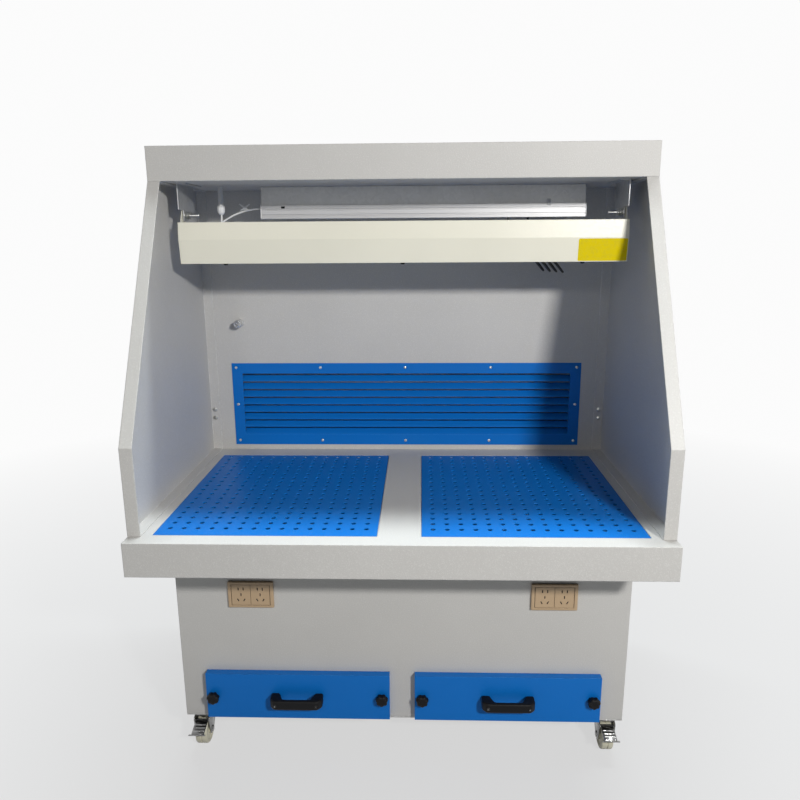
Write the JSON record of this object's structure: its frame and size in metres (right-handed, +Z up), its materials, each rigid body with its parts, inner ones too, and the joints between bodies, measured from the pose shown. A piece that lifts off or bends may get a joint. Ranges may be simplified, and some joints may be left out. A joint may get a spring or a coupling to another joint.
{
  "type": "downdraft table",
  "caption": "Downdraft grinding table with perforated work plates, side shields, louvred back, lit hood with a tilting shade, dust drawers, sockets and braked casters.",
  "frame": {"origin": "on the floor under the middle of the table's outline", "axes": "+Z up, -Y towards the worker in front, +X to the worker's right"},
  "size_m": [1.24, 0.85, 1.581],
  "materials": {
    "grey_paint": "satin powder coat, light grey",
    "blue_paint": "satin powder coat, strong blue",
    "cream_paint": "satin powder coat, cream white",
    "galvanised_sheet": "dull galvanised",
    "zinc_plate": "bright zinc plating",
    "chrome_plate": "bright",
    "lamp_alloy": "satin extrusion",
    "black_plastic": "fine moulded grain",
    "white_plastic": "smooth moulded",
    "champagne_plastic": "satin champagne",
    "wheel_plastic": "smooth moulded cream",
    "diffuser_plastic": "opal",
    "black_sheath": "matte cable sheath",
    "white_sheath": "matte cable sheath",
    "filter_media": "pleated filter cloth",
    "motor_paint": "machinery enamel"
  },
  "bodies": {
    "cabinet": {"air_tank": "motor_paint", "back_panel": "grey_paint", "base_floor": "grey_paint", "base_front_panel": "grey_paint", "base_left_panel": "grey_paint", "base_rear_panel": "grey_paint", "base_right_panel": "grey_paint", "cable_hank": "black_sheath", "caster_plates": "zinc_plate", "coupler_body": "chrome_plate", "drawer_rails": "galvanised_sheet", "fan_housing": "motor_paint", "fan_motor": "motor_paint", "filter_cartridges": "filter_media", "filter_wall": "grey_paint", "hexagon_bolts": "zinc_plate", "hood_shell": "grey_paint", "hood_soffit": "grey_paint", "lamp_body": "lamp_alloy", "lamp_channel": "galvanised_sheet", "lamp_diffuser": "diffuser_plastic", "lamp_lead": "white_sheath", "lead_gland": "white_plastic", "left_shield": "grey_paint", "left_socket": "champagne_plastic", "louvre_grille": "blue_paint", "louvre_screws": "zinc_plate", "pulse_valves": "motor_paint", "rear_duct_cover": "grey_paint", "right_shield": "grey_paint", "right_socket": "champagne_plastic", "shade_brackets": "galvanised_sheet", "supply_gland": "black_plastic", "tray_pan": "grey_paint", "worktop": "grey_paint"},
    "left_plate": {"left_perforated_plate": "blue_paint"},
    "left_drawer": {"left_drawer_front": "blue_paint", "left_drawer_tray": "galvanised_sheet", "left_drawer_handle": "black_plastic"},
    "left_outer_star": {"left_outer_knob": "black_plastic"},
    "left_inner_star": {"left_inner_knob": "black_plastic"},
    "right_plate": {"right_perforated_plate": "blue_paint"},
    "right_drawer": {"right_drawer_front": "blue_paint", "right_drawer_tray": "galvanised_sheet", "right_drawer_handle": "black_plastic"},
    "right_outer_star": {"right_outer_knob": "black_plastic"},
    "right_inner_star": {"right_inner_knob": "black_plastic"},
    "shade": {"lamp_shade": "cream_paint"},
    "fan_wheel": {"fan_impeller": "motor_paint"},
    "sleeve": {"coupler_sleeve": "chrome_plate"},
    "front_left_swivel": {"front_left_fork": "zinc_plate"},
    "front_left_roller": {"front_left_wheel": "wheel_plastic"},
    "front_left_brake": {"front_left_brake_pedal": "zinc_plate"},
    "front_right_swivel": {"front_right_fork": "zinc_plate"},
    "front_right_roller": {"front_right_wheel": "wheel_plastic"},
    "front_right_brake": {"front_right_brake_pedal": "zinc_plate"},
    "rear_left_swivel": {"rear_left_fork": "zinc_plate"},
    "rear_left_roller": {"rear_left_wheel": "wheel_plastic"},
    "rear_right_swivel": {"rear_right_fork": "zinc_plate"},
    "rear_right_roller": {"rear_right_wheel": "wheel_plastic"}
  },
  "joints": [
    {"name": "left_plate_lift", "type": "slide", "parent": "cabinet", "child": "left_plate", "axis": [0, 0, 1], "range_m": [0, 0.08]},
    {"name": "left_drawer_slide", "type": "slide", "parent": "cabinet", "child": "left_drawer", "axis": [0, -1, 0], "range_m": [0, 0.3]},
    {"name": "left_outer_knob_turn", "type": "hinge", "parent": "left_drawer", "child": "left_outer_star", "pos_m": [-0.499, -0.2395, 0.1795], "axis": [0, 1, 0], "continuous": true},
    {"name": "left_inner_knob_turn", "type": "hinge", "parent": "left_drawer", "child": "left_inner_star", "pos_m": [-0.053, -0.2395, 0.1795], "axis": [0, 1, 0], "continuous": true},
    {"name": "right_plate_lift", "type": "slide", "parent": "cabinet", "child": "right_plate", "axis": [0, 0, 1], "range_m": [0, 0.08]},
    {"name": "right_drawer_slide", "type": "slide", "parent": "cabinet", "child": "right_drawer", "axis": [0, -1, 0], "range_m": [0, 0.3]},
    {"name": "right_outer_knob_turn", "type": "hinge", "parent": "right_drawer", "child": "right_outer_star", "pos_m": [0.499, -0.2395, 0.1795], "axis": [0, 1, 0], "continuous": true},
    {"name": "right_inner_knob_turn", "type": "hinge", "parent": "right_drawer", "child": "right_inner_star", "pos_m": [0.053, -0.2395, 0.1795], "axis": [0, 1, 0], "continuous": true},
    {"name": "shade_tilt", "type": "hinge", "parent": "cabinet", "child": "shade", "pos_m": [0, 0.025, 1.42], "axis": [1, 0, 0], "range_deg": [-25, 20]},
    {"name": "fan_spin", "type": "hinge", "parent": "cabinet", "child": "fan_wheel", "pos_m": [-0.01, 0.258, 0.26], "axis": [1, 0, 0], "continuous": true},
    {"name": "sleeve_pull", "type": "slide", "parent": "cabinet", "child": "sleeve", "axis": [0, 1, 0], "range_m": [0, 0.004], "stiffness_N_per_m": 1000},
    {"name": "front_left_swivel_turn", "type": "hinge", "parent": "cabinet", "child": "front_left_swivel", "pos_m": [-0.55, -0.156, 0.09], "axis": [0, 0, 1], "continuous": true},
    {"name": "front_left_wheel_roll", "type": "hinge", "parent": "front_left_swivel", "child": "front_left_roller", "pos_m": [-0.55, -0.186, 0.0375], "axis": [1, 0, 0], "continuous": true},
    {"name": "front_left_brake_press", "type": "hinge", "parent": "front_left_swivel", "child": "front_left_brake", "pos_m": [-0.55, -0.203, 0.076], "axis": [1, 0, 0], "range_deg": [0, 18]},
    {"name": "front_right_swivel_turn", "type": "hinge", "parent": "cabinet", "child": "front_right_swivel", "pos_m": [0.55, -0.156, 0.09], "axis": [0, 0, 1], "continuous": true},
    {"name": "front_right_wheel_roll", "type": "hinge", "parent": "front_right_swivel", "child": "front_right_roller", "pos_m": [0.55, -0.186, 0.0375], "axis": [1, 0, 0], "continuous": true},
    {"name": "front_right_brake_press", "type": "hinge", "parent": "front_right_swivel", "child": "front_right_brake", "pos_m": [0.55, -0.203, 0.076], "axis": [1, 0, 0], "range_deg": [0, 18]},
    {"name": "rear_left_swivel_turn", "type": "hinge", "parent": "cabinet", "child": "rear_left_swivel", "pos_m": [-0.55, 0.332, 0.09], "axis": [0, 0, 1], "continuous": true},
    {"name": "rear_left_wheel_roll", "type": "hinge", "parent": "rear_left_swivel", "child": "rear_left_roller", "pos_m": [-0.55, 0.302, 0.0375], "axis": [1, 0, 0], "continuous": true},
    {"name": "rear_right_swivel_turn", "type": "hinge", "parent": "cabinet", "child": "rear_right_swivel", "pos_m": [0.55, 0.332, 0.09], "axis": [0, 0, 1], "continuous": true},
    {"name": "rear_right_wheel_roll", "type": "hinge", "parent": "rear_right_swivel", "child": "rear_right_roller", "pos_m": [0.55, 0.302, 0.0375], "axis": [1, 0, 0], "continuous": true}
  ]
}
